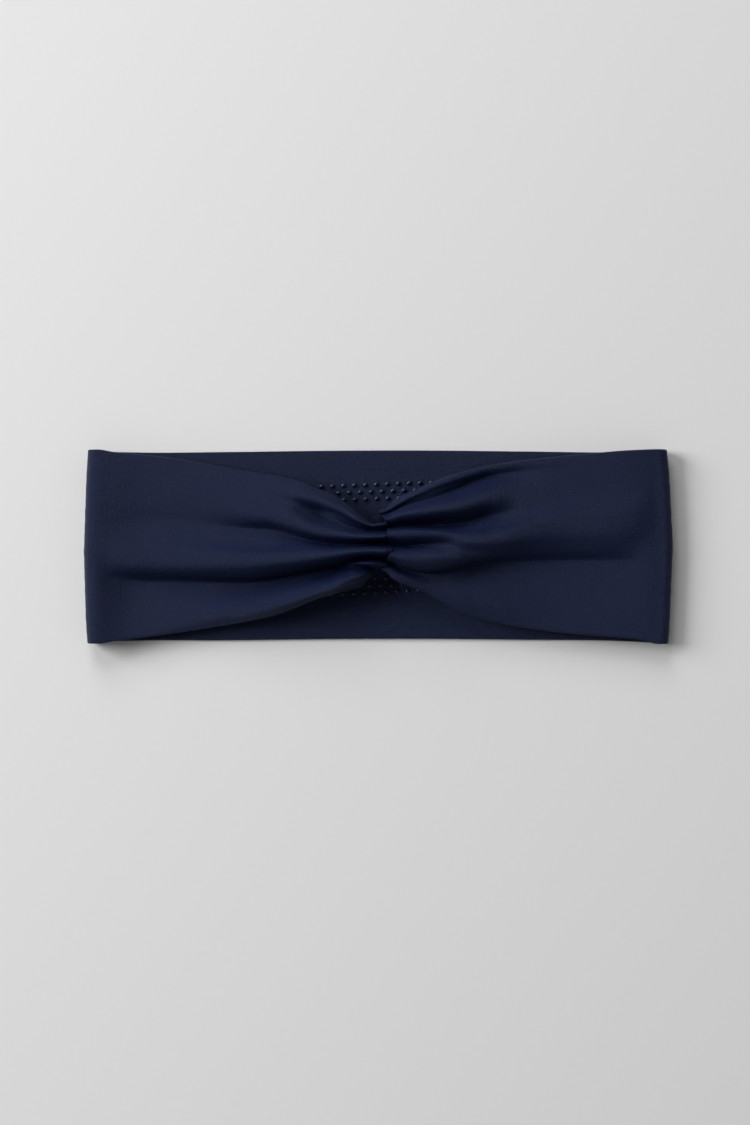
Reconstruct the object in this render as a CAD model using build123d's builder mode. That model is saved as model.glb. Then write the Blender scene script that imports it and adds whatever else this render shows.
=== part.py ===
"""Gathered ("knotted") stretch headband, lying flat with its sewn knot upwards.

The band is a loop of three panels, a left front, a right front and a back. Each panel is two layers of
knit cloth, an outer shell and an inner lining, bagged out along the long edges. The front panels are
pleated at the centre and sewn to each other there, and the back panel carries silicone grip dots inside.

Row frame, millimetres: X runs from side fold to side fold, Y across the band, Z up from the surface that
the back panel lies on. The origin is under the middle of the loop.
"""

from build123d import *

import math
import os

os.makedirs("parts", exist_ok=True)

# Cloth
LAYER = 0.7  # thickness of one layer of knit
AIR = 0.1  # air left between layers that lie on each other
PANEL = 2 * LAYER + AIR  # shell, air and lining

# Loop
APEX_X = 116.6  # outermost line of each side fold
FOLD_HEIGHT = 8.5  # outside height of a side fold
FOLD_MID_Z = FOLD_HEIGHT / 2
FOLD_RADIUS = FOLD_MID_Z  # outside radius of a side fold
FOLD_X = APEX_X - FOLD_RADIUS  # where the flat part ends and the fold begins
FOLD_CLOTH_Z = FOLD_HEIGHT - PANEL / 2  # middle of the cloth on top of a side fold
HALF_SPAN = 39.1  # half the height of the band, at its folds
SEAM_GAP = 0.1  # between the panels' edges at a seam

# Back panel: x, top edge y, bottom edge y
BACK_EDGES = [
    (-APEX_X, HALF_SPAN, -HALF_SPAN),
    (-104.0, 37.8, -37.7),
    (0.0, 38.4, -37.2),
    (104.0, 37.8, -37.7),
    (APEX_X, HALF_SPAN, -HALF_SPAN),
]

# Centre seam
SEAM_X = 3.2  # the plane in which the pleated ends meet
BUNDLE = SEAM_GAP + 2 * PANEL  # thickness of the seam allowance, four layers
ALLOWANCE_FOOT = 3.3  # height of the raw edges of the seam allowance
ALLOWANCE_INSET = 0.8  # from a long edge of the panel to the end of its allowance
BINDING_LAYER = 0.5
BINDING_TOP = 6.4
BINDING_LOW_Y = -9.6
BINDING_HIGH_Y = 12.6

# Grip dots
DOT_RADIUS = 1.0
DOT_HEIGHT = 0.7
DOT_ROUND = 0.6  # rounding of a dot's crown
DOT_PITCH = 4.4  # along a row
DOT_ROW_STEP = 2.88  # from row to row, with every second row half a pitch over
DOTS_IN_ROW = 30
DOT_BAND_OFFSET = 18.72  # from the field's middle to the middle row of each of its two bands
DOT_CENTRE_Y = 3.5
DOT_FIELD_TURN = 2.2  # degrees that the printed field is out of line with the panel

# Thread
THREAD_RADIUS = 0.15
STITCH = 2.6  # stitch length
STITCH_SHARE = 0.8  # of each stitch length that shows thread
EDGE_SEAM_INSET = 1.6  # from a long edge to its seam
SEAM_LOW_Y = -8.6
SEAM_HIGH_Y = 9.6
SEAM_THREAD_Z = 7.0
BINDING_THREAD_Z = 5.2
SIDE_SEAM_HALF = 37.7  # half the length of a side seam's stitching
SIDE_BITE = 0.6  # how far a side seam's stitches go into each panel

# Front panels: x, top edge y, bottom edge y, height of the panel's middle, height of its edges.
# The heights are those of the middle of the cloth, between shell and lining.
LEFT_STATIONS = [
    (-FOLD_X, HALF_SPAN, -HALF_SPAN, FOLD_CLOTH_Z, FOLD_CLOTH_Z),
    (-100.0, 37.5, -36.8, 8.8, 8.3),
    (-80.0, 35.3, -34.2, 9.8, 8.6),
    (-60.0, 31.6, -31.3, 10.3, 8.5),
    (-40.0, 28.5, -26.8, 10.6, 8.2),
    (-24.0, 23.3, -20.8, 10.6, 8.0),
    (-12.0, 17.0, -17.2, 10.6, 8.2),
    (-4.0, 11.5, -13.6, 10.5, 8.4),
    (SEAM_X, 10.5, -9.8, 10.3, 8.6),
]
RIGHT_STATIONS = [
    (SEAM_X, 13.6, -10.8, 10.6, 8.8),
    (10.0, 19.6, -14.3, 11.0, 8.8),
    (20.0, 25.3, -19.4, 11.0, 8.6),
    (32.0, 30.0, -25.6, 10.8, 8.4),
    (50.0, 33.5, -30.9, 10.4, 8.4),
    (70.0, 36.0, -34.0, 9.9, 8.5),
    (88.0, 37.6, -35.6, 9.2, 8.3),
    (102.0, 38.6, -36.8, 8.6, 8.2),
    (FOLD_X, HALF_SPAN, -HALF_SPAN, FOLD_CLOTH_Z, FOLD_CLOTH_Z),
]

# Folds that run in from the centre seam: x, y, height (a valley is negative), half width
LEFT_FOLDS = [
    [(-50, 17, 0.0, 9), (-30, 12.5, 0.8, 6), (-12, 6.4, 1.6, 3.4), (SEAM_X, 5.2, 1.8, 2.2)],
    [(-60, 10, 0.0, 6), (-40, 8.0, -1.6, 4.6), (-20, 2.6, -2.0, 3.2), (SEAM_X, 2.0, -2.0, 2.2)],
    [(-105, -1, 0.0, 9), (-60, -2.2, 0.8, 6), (-24, -1.5, 1.5, 3.4), (SEAM_X, -0.9, 1.8, 2.2)],
    [(-108, -9, 0.0, 6), (-80, -12, -1.5, 4.6), (-46, -11.3, -1.9, 4.2), (-16, -5.0, -2.0, 3.2),
     (SEAM_X, -4.2, -2.0, 2.2)],
    [(-75, -27, 0.0, 8), (-40, -19.6, 1.0, 5), (-16, -12.4, 1.4, 3.4), (SEAM_X, -7.4, 1.6, 2.2)],
]
RIGHT_FOLDS = [
    [(SEAM_X, 11.2, 1.6, 2.4), (16, 14.4, 1.4, 3.4), (32, 19.6, 0.8, 5), (55, 23, 0.0, 8)],
    [(SEAM_X, 7.8, -1.8, 2.2), (20, 9.8, -1.9, 3.2), (38, 13.2, -1.4, 4.4), (54, 18, 0.0, 6)],
    [(SEAM_X, 4.6, 1.8, 2.2), (20, 5.2, 1.4, 3.6), (42, 6.8, 1.0, 5), (72, 13, 0.0, 8)],
    [(SEAM_X, 1.0, -1.6, 2.0), (12, 1.0, -1.2, 2.2), (24, 1.0, 0.0, 3)],
    [(SEAM_X, -2.8, 1.6, 2.2), (20, -3.4, 1.8, 4.0), (34, -1.5, 0.8, 6), (54, 2, 0.0, 8)],
    [(SEAM_X, -6.4, -1.6, 2.0), (18, -9.2, -2.0, 3.2), (36, -6.6, -1.6, 4.0), (64, -4, -0.8, 4.6),
     (100, -3.6, 0.0, 6)],
]

SECTION_POINTS = 21  # across one section of a front panel
FOLD_TURNS = (90, 60, 30)  # degrees round a side fold, down from its top, that get a section


def along(rows, x):
    """The smooth curve through the rows, at x: their other columns, as a list."""
    rows = sorted(rows)
    if x <= rows[0][0]:
        return list(rows[0][1:])
    if x >= rows[-1][0]:
        return list(rows[-1][1:])
    i = max(k for k in range(len(rows) - 1) if rows[k][0] <= x)
    a, b = rows[i], rows[i + 1]
    before = rows[max(i - 1, 0)]
    after = rows[min(i + 2, len(rows) - 1)]
    span = b[0] - a[0]
    t = (x - a[0]) / span
    found = []
    for k in range(1, len(a)):
        slope_a = (b[k] - before[k]) / (b[0] - before[0]) * span
        slope_b = (after[k] - a[k]) / (after[0] - a[0]) * span
        found.append(
            (2 * t**3 - 3 * t**2 + 1) * a[k]
            + (t**3 - 2 * t**2 + t) * slope_a
            + (3 * t**2 - 2 * t**3) * b[k]
            + (t**3 - t**2) * slope_b
        )
    return found


def cloth_height(stations, folds, x, y):
    """Height of the middle of a front panel's cloth at x, y."""
    top, bottom, middle_z, edge_z = along(stations, x)
    share = (2 * y - top - bottom) / (top - bottom)
    height = middle_z + (edge_z - middle_z) * share**4
    for fold in folds:
        rows = sorted(fold)
        if rows[0][0] <= x <= rows[-1][0]:
            fold_y, fold_h, half_width = along(rows, x)
            height += fold_h * math.exp(-(((y - fold_y) / half_width) ** 2))
    return height


def spaced(low, high, count):
    """count numbers, evenly spaced from low to high."""
    return [low + (high - low) * k / (count - 1) for k in range(count)]


def cross_plane(x):
    """The plane across the band at x, with its own x along Y and its own y upwards."""
    return Plane(origin=(x, 0, 0), x_dir=(0, 1, 0), z_dir=(1, 0, 0))


def fold_plane(side, turn):
    """The plane through a side fold's axis, turned down from the vertical by turn degrees."""
    angle = math.radians(turn)
    outward = Vector(side * math.sin(angle), 0, math.cos(angle))
    return Plane(
        origin=(side * FOLD_X, 0, FOLD_MID_Z), x_dir=(0, 1, 0), z_dir=Vector(0, 1, 0).cross(outward)
    )


def section(plane, stations, folds, x, low, high):
    """One layer of a front panel, cut by a plane that holds Y and the cloth's thickness.

    low and high are the layer's faces, measured up from the middle of the cloth at x.
    """
    top, bottom = along(stations, x)[:2]
    base = plane.origin.Z
    points = [
        (y, cloth_height(stations, folds, x, y) - base) for y in spaced(bottom, top, SECTION_POINTS)
    ]
    upper = [(y, z + high) for y, z in points]
    lower = [(y, z + low) for y, z in points]
    with BuildSketch(plane) as outline:
        with BuildLine():
            Spline(upper)
            Line(upper[-1], lower[-1])
            Spline(lower[::-1])
            Line(lower[0], upper[0])
        make_face()
    return outline.sketch


def front_sections(side, stations, folds, low, high, end_x):
    """The sections of one layer of a front panel, from its side seam round the fold to end_x.

    side is -1 for the left panel and 1 for the right.
    """
    fold_x = side * FOLD_X
    planes = [(fold_x, fold_plane(side, turn)) for turn in FOLD_TURNS]
    inner = [row[0] for row in stations if row[0] not in (fold_x, SEAM_X)]
    xs = [fold_x, *sorted(inner, reverse=side > 0), end_x]
    planes += [(x, cross_plane(x)) for x in xs]
    return [section(plane, stations, folds, x, low, high) for x, plane in planes]


def allowance_outline(x, stations, folds, lift):
    """The turned-down end of one layer at the centre seam, from its raw edge up into the layer."""
    top, bottom = along(stations, x)[:2]
    ys = spaced(bottom + ALLOWANCE_INSET, top - ALLOWANCE_INSET, SECTION_POINTS)
    crest = [(y, cloth_height(stations, folds, x, y) + lift) for y in ys]
    with BuildSketch(cross_plane(x)) as outline:
        with BuildLine():
            Spline(crest)
            Polyline(crest[-1], (ys[-1], ALLOWANCE_FOOT), (ys[0], ALLOWANCE_FOOT), crest[0])
        make_face()
    return outline.sketch


def front_layer(name, side, stations, folds, outer):
    """One layer of a front panel: the cloth as far as the centre seam, and its turned-down end."""
    low, high = (AIR / 2, PANEL / 2) if outer else (-PANEL / 2, -AIR / 2)
    end_x = SEAM_X + side * (SEAM_GAP / 2 + (0 if outer else LAYER + AIR))
    with BuildPart() as layer:
        loft(sections=front_sections(side, stations, folds, low, high, end_x))
        extrude(allowance_outline(end_x, stations, folds, (low + high) / 2), amount=side * LAYER)
    layer.part.label = name
    return layer.part


def back_layer(name, outer):
    """One layer of the back panel: flat, with both ends curling up to the side seams."""
    inset = 0 if outer else LAYER + AIR
    radius = FOLD_RADIUS - inset
    with BuildPart() as layer:
        with BuildSketch(Plane.XZ):
            with BuildLine():
                low = Line((-FOLD_X, inset), (FOLD_X, inset))
                right = CenterArc((FOLD_X, FOLD_MID_Z), radius, -90, 90)
                left = CenterArc((-FOLD_X, FOLD_MID_Z), radius, 180, 90)
                high = Line((-FOLD_X, inset + LAYER), (FOLD_X, inset + LAYER))
                right_in = CenterArc((FOLD_X, FOLD_MID_Z), radius - LAYER, -90, 90)
                left_in = CenterArc((-FOLD_X, FOLD_MID_Z), radius - LAYER, 180, 90)
                Line(right @ 1, right_in @ 1)
                Line(left @ 0, left_in @ 0)
            make_face()
        extrude(amount=HALF_SPAN + 1, both=True)
        with BuildSketch():
            with BuildLine():
                Spline([(x, top) for x, top, bottom in BACK_EDGES])
                Spline([(x, bottom) for x, top, bottom in BACK_EDGES])
                for x, top, bottom in (BACK_EDGES[0], BACK_EDGES[-1]):
                    Line((x, top), (x, bottom))
            make_face()
        extrude(amount=FOLD_MID_Z - SEAM_GAP, mode=Mode.INTERSECT)
    layer.part.label = name
    return layer.part


def grip_dot_group():
    """The silicone dots printed on the back lining: rounded buttons in two bands of three rows."""
    turn = math.radians(DOT_FIELD_TURN)
    field = Plane(
        origin=(0, DOT_CENTRE_Y, PANEL), x_dir=(math.cos(turn), math.sin(turn), 0), z_dir=(0, 0, 1)
    )
    places = []
    for band in (-1, 1):
        for row in (-1, 0, 1):
            y = band * DOT_BAND_OFFSET + row * DOT_ROW_STEP
            shift = DOT_PITCH / 2 if (row == 0) == (band > 0) else 0
            places += [((k - DOTS_IN_ROW / 2) * DOT_PITCH + shift, y) for k in range(DOTS_IN_ROW)]
    with BuildPart() as dots:
        with BuildSketch(field):
            with Locations(*places):
                Circle(DOT_RADIUS)
        extrude(amount=DOT_HEIGHT)
        fillet(dots.faces().sort_by(Axis.Z).group_by(Axis.Z)[-1].edges(), DOT_ROUND)
    dots.part.label = "grip_dots"
    return dots.part


def binding():
    """The folded strip that covers the raw edges of the centre seam's allowance."""
    with BuildPart() as strip:
        with BuildSketch(Plane.XZ.offset(-BINDING_HIGH_Y)):
            with Locations((SEAM_X, ALLOWANCE_FOOT - AIR - BINDING_LAYER)):
                Rectangle(
                    BUNDLE + 2 * BINDING_LAYER,
                    BINDING_TOP - ALLOWANCE_FOOT + AIR + BINDING_LAYER,
                    align=(Align.CENTER, Align.MIN),
                )
            with Locations((SEAM_X, ALLOWANCE_FOOT - AIR)):
                Rectangle(
                    BUNDLE,
                    BINDING_TOP - ALLOWANCE_FOOT + AIR,
                    align=(Align.CENTER, Align.MIN),
                    mode=Mode.SUBTRACT,
                )
        extrude(amount=BINDING_HIGH_Y - BINDING_LOW_Y)
        fillet(strip.edges().filter_by(Axis.Y).group_by(Axis.Z)[0], BINDING_LAYER)
    strip.part.label = "centre_seam_binding"
    return strip.part


def seam_ladder(name, z, half_width):
    """A row of lockstitch through the centre seam: a thread on each face, and the crossings between."""
    length = SEAM_HIGH_Y - SEAM_LOW_Y
    middle_y = (SEAM_LOW_Y + SEAM_HIGH_Y) / 2
    crossings = spaced(SEAM_LOW_Y, SEAM_HIGH_Y, round(length / STITCH) + 1)
    with BuildPart() as thread:
        with Locations((SEAM_X - half_width, middle_y, z), (SEAM_X + half_width, middle_y, z)):
            Cylinder(THREAD_RADIUS, length, rotation=(90, 0, 0))
        with Locations(*[(SEAM_X, y, z) for y in crossings]):
            Cylinder(THREAD_RADIUS, 2 * half_width, rotation=(0, 90, 0))
            with Locations((-half_width, 0, 0), (half_width, 0, 0)):
                Sphere(THREAD_RADIUS)
    thread.part.label = name
    return thread.part


def stitches(name, runs):
    """Separate stitches of thread: runs holds (start, end) points, all of one length."""
    places = [Plane(origin=a, z_dir=b - a).location for a, b in runs]
    length = (runs[0][1] - runs[0][0]).length
    with BuildPart() as thread:
        with Locations(*places):
            Cylinder(THREAD_RADIUS, length, align=(Align.CENTER, Align.CENTER, Align.MIN))
    thread.part.label = name
    return thread.part


def side_seam_thread(name, side):
    """The stitches through a side seam, one row in the shells and one in the linings."""
    runs = []
    for inset in (LAYER / 2, LAYER * 1.5 + AIR):
        x = side * (APEX_X - inset)
        count = round(2 * SIDE_SEAM_HALF / STITCH) + 1
        for y in spaced(-SIDE_SEAM_HALF, SIDE_SEAM_HALF, count):
            low = Vector(x, y, FOLD_MID_Z - SEAM_GAP - SIDE_BITE)
            runs.append((low, low + Vector(0, 0, 2 * SIDE_BITE + SEAM_GAP)))
    return stitches(name, runs)


def edge_runs(point_at, start_x, end_x):
    """Stitch runs along a line given by point_at(x), all one stitch long."""
    count = int((end_x - start_x) / STITCH)
    runs = []
    for k in range(count):
        start = point_at(start_x + k * STITCH)
        ahead = point_at(start_x + k * STITCH + STITCH)
        runs.append((start, start + (ahead - start).normalized() * STITCH * STITCH_SHARE))
    return runs


def front_edge_thread(name, stations, folds, start_x, end_x):
    """The stitches that join shell and lining along the two long edges of a front panel."""

    def point_at(edge, sign):
        def at(x):
            y = along(stations, x)[edge] - sign * EDGE_SEAM_INSET
            return Vector(x, y, cloth_height(stations, folds, x, y))

        return at

    runs = edge_runs(point_at(0, 1), start_x, end_x) + edge_runs(point_at(1, -1), start_x, end_x)
    return stitches(name, runs)


def back_edge_thread():
    """The stitches that join shell and lining along the two long edges of the back panel."""

    def point_at(edge, sign):
        def at(x):
            return Vector(x, along(BACK_EDGES, x)[edge] - sign * EDGE_SEAM_INSET, PANEL / 2)

        return at

    runs = edge_runs(point_at(0, 1), -FOLD_X, FOLD_X) + edge_runs(point_at(1, -1), -FOLD_X, FOLD_X)
    return stitches("back_edge_thread", runs)


pieces = [
    front_layer("front_left_shell", -1, LEFT_STATIONS, LEFT_FOLDS, True),
    front_layer("front_left_lining", -1, LEFT_STATIONS, LEFT_FOLDS, False),
    front_layer("front_right_shell", 1, RIGHT_STATIONS, RIGHT_FOLDS, True),
    front_layer("front_right_lining", 1, RIGHT_STATIONS, RIGHT_FOLDS, False),
    back_layer("back_shell", True),
    back_layer("back_lining", False),
    grip_dot_group(),
    binding(),
    seam_ladder("centre_seam_thread", SEAM_THREAD_Z, BUNDLE / 2 + THREAD_RADIUS),
    seam_ladder("binding_thread", BINDING_THREAD_Z, BUNDLE / 2 + BINDING_LAYER + THREAD_RADIUS),
    side_seam_thread("left_side_seam_thread", -1),
    side_seam_thread("right_side_seam_thread", 1),
    front_edge_thread("front_left_edge_thread", LEFT_STATIONS, LEFT_FOLDS, -FOLD_X, 0),
    front_edge_thread("front_right_edge_thread", RIGHT_STATIONS, RIGHT_FOLDS, SEAM_X + 3, FOLD_X),
    back_edge_thread(),
]
for piece in pieces:
    export_step(piece, f"parts/{piece.label}.step")
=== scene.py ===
"""The knotted headband's cloth, grip dots, binding and stitches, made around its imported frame.

Design sizes are in millimetres, as in the frame's own drawing, and MM turns them to Blender's metres.
"""

import math

import bpy
import numpy as np
from mathutils import Matrix, Vector


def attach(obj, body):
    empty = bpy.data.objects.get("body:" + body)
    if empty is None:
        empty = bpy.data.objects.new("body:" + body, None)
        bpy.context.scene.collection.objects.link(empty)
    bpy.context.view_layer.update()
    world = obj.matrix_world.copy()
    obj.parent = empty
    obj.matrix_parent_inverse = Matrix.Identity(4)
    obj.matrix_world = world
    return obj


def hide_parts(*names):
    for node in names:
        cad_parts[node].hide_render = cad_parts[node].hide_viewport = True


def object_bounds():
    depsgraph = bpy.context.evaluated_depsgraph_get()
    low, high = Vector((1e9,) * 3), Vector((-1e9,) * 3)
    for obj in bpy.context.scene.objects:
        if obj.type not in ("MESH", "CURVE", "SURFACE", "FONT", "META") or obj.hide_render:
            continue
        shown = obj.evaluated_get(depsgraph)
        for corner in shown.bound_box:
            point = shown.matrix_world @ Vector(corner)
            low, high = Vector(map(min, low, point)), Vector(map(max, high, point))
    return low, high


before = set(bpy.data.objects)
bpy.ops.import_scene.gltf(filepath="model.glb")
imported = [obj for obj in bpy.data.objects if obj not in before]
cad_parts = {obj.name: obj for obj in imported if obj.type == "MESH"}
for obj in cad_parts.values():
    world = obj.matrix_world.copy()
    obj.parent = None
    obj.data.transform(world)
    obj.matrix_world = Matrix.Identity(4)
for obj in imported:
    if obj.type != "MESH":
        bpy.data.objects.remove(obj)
CAD_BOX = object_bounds()

bl_info = {
    "name": "Knotted Headband",
    "version": (1, 0, 0),
    "blender": (4, 5, 0),
    "location": "View3D > Sidebar > Headband",
    "description": "Makes a stretch headband with a pleated knot, and a stage to show it on",
    "category": "Add Mesh",
}

MM = 0.001

# The loop, from the frame's box
APEX_X = CAD_BOX[1][0] / MM  # outermost line of the side folds
FOLD_HEIGHT = 8.5  # outside height of a side fold
MID_Z = FOLD_HEIGHT / 2
FOLD_X = APEX_X - MID_Z  # where the flat part ends and a side fold begins
SIDE_START_X = 90.0  # from here outwards the cloth follows the outermost lines below

# Where each side fold's outermost line runs: y, x
LEFT_APEX = [(-40, -116.5), (-30, -117.2), (-2, -118.0), (28, -117.0), (40, -116.3)]
RIGHT_APEX = [(-40, 116.0), (-30, 116.7), (1, 118.0), (28, 116.6), (40, 115.5)]

# Back panel: x, top edge y, bottom edge y
BACK_EDGES = [
    (-117, 38.9, -38.8),
    (-108, 38.3, -38.0),
    (-96, 38.0, -37.6),
    (-60, 38.2, -37.4),
    (-20, 38.7, -36.9),
    (20, 38.8, -36.8),
    (60, 38.4, -37.2),
    (96, 38.1, -37.7),
    (108, 38.4, -38.3),
    (117, 39.0, -38.9),
]

# Front panels: x, top edge y, bottom edge y, height of the crown, of the top edge, of the bottom edge
LEFT_STATIONS = [
    (-112.35, 39.0, -38.7, 9.8, 9.0, 9.0),
    (-106.0, 38.0, -37.8, 8.8, 8.4, 8.4),
    (-96.6, 37.1, -36.5, 7.5, 7.5, 7.5),
    (-81.0, 35.4, -34.6, 7.7, 7.3, 7.3),
    (-66.0, 32.8, -32.3, 9.2, 7.8, 7.8),
    (-50.6, 30.2, -29.6, 11.0, 8.6, 8.4),
    (-39.0, 28.3, -26.8, 12.3, 9.2, 9.4),
    (-31.4, 26.4, -23.9, 13.1, 9.6, 10.2),
    (-23.8, 23.3, -20.8, 13.7, 9.9, 10.8),
    (-16.1, 19.9, -18.5, 14.1, 10.2, 11.2),
    (-10.7, 16.0, -17.0, 14.3, 10.5, 11.0),
    (-6.2, 12.2, -15.6, 14.2, 10.8, 10.4),
    (-3.4, 9.9, -14.2, 14.0, 11.2, 9.0),
    (-1.0, 9.2, -11.4, 13.9, 11.4, 8.8),
    (1.4, 9.8, -9.7, 13.8, 11.5, 8.8),
    (3.2, 10.8, -9.2, 13.7, 11.6, 8.8),
]
RIGHT_STATIONS = [
    (3.2, 13.8, -9.9, 13.8, 12.2, 10.2),
    (8.2, 18.9, -13.5, 14.2, 11.8, 10.0),
    (15.9, 23.3, -17.3, 14.5, 11.3, 9.8),
    (23.6, 27.0, -21.5, 14.3, 10.9, 9.4),
    (31.2, 29.7, -25.3, 13.8, 10.5, 9.0),
    (38.9, 31.6, -28.3, 13.0, 10.1, 8.7),
    (50.4, 33.6, -31.0, 11.6, 9.5, 8.4),
    (61.8, 35.1, -32.9, 10.3, 9.1, 8.3),
    (73.3, 36.3, -34.3, 9.3, 8.8, 8.2),
    (84.8, 37.4, -35.3, 8.9, 8.6, 8.2),
    (96.3, 38.4, -36.2, 8.6, 8.5, 8.2),
    (106.0, 38.9, -37.3, 7.9, 8.1, 7.8),
    (112.35, 39.1, -38.8, 7.3, 7.7, 7.5),
]

# The line in which the pleated ends meet: y, x
SEAM_LINE = [
    (-12.0, 0.9), (-9.6, 1.8), (-4.5, 4.2), (-0.3, 5.6), (0.7, 4.8), (6.5, 4.2), (11.3, 3.1), (13.8, 0.7),
]
SEAM_X = 3.2
ALLOWANCE_FOOT = 3.6  # height of the raw edges under the centre seam
SEAM_REACH = 14.0  # how far from the seam its line bends the columns
LEFT_GAP = 0.25  # from the seam's line to the left panel's end, which goes in under the right one
LEFT_SINK = 1.0  # how far the left panel's end dips at the seam
LEFT_SINK_REACH = 1.3

# The binding on the seam allowance, whose top end shows beside the notch: y, x
BINDING_LINE = [(-12.0, 2.0), (-9.6, 2.4), (-4.5, 4.0), (2.0, 4.4), (7.0, 3.4), (10.0, 1.4), (12.6, 0.2)]
BINDING_LOW_Y = -9.6
BINDING_HIGH_Y = 12.6
BINDING_TOP = 6.4
BINDING_WIDTH = 4.1
BINDING_LAYER = 0.5
BINDING_CORNER = 0.9  # outer radius of the bends under the raw edges
OVERCAST_LOW_Y = 5.0
OVERCAST_SPACING = 0.55
THREAD_PROUD = 0.15  # how far a thread's middle line stands off the tape it lies on
SEAM_THREAD_Z = 7.0
BINDING_THREAD_Z = 5.2
SEAM_LOW_Y = -8.6
SEAM_HIGH_Y = 9.6
EDGE_SEAM_INSET = 1.6  # from a long edge to the stitches inside it
SIDE_SEAM_HALF = 37.7
SIDE_SEAM_DEPTHS = (0.85, 1.3)  # of the side seams' two rows of stitches, under the outer face
SIDE_BITE = 0.65
STITCH_SHARE = 0.8  # of each stitch length that shows thread

# Points of the cloth grids, and the angles through which a long edge rolls
TURN_COLUMNS = 16
NEAR_X = 36.0  # this close to the centre seam the columns lie closer together
FAR_COLUMNS, NEAR_COLUMNS = 84, 98
BACK_COLUMNS = 150
SHELL_ROWS, LINING_ROWS, BACK_ROWS, BINDING_ROWS = 120, 84, 70, 46
SHELL_ROLL = (12, 25, 40, 55, 70, 86, 102, 118)
LINING_ROLL = (14, 28, 42, 54)
SMOOTH_ANGLE = math.radians(50)

# The printed field of grip dots
DOTS_IN_ROW = 30
DOT_BAND_OFFSET = 18.72  # from the field's middle to the middle row of each of its two bands
DOT_CENTRE_Y = 3.5
LINING_TOP = 1.5  # height of the back lining's face, on which the dots stand
DOT_SINK = 0.12  # how deep the silicone goes into the cloth

# Stage, in metres but for the camera's place and its lens
FLOOR_SIZE = 6.0
SOFTBOX_SIZE = 1.3
LEFT_SOFTBOX_PLACE = (-2.10, 0.64, 1.20)
FAR_SOFTBOX_PLACE = (-0.57, 2.08, 1.27)
CAMERA_X, CAMERA_Y = -1.4, -6.2
LENS, SENSOR_WIDTH = 100.0, 36.0

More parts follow.
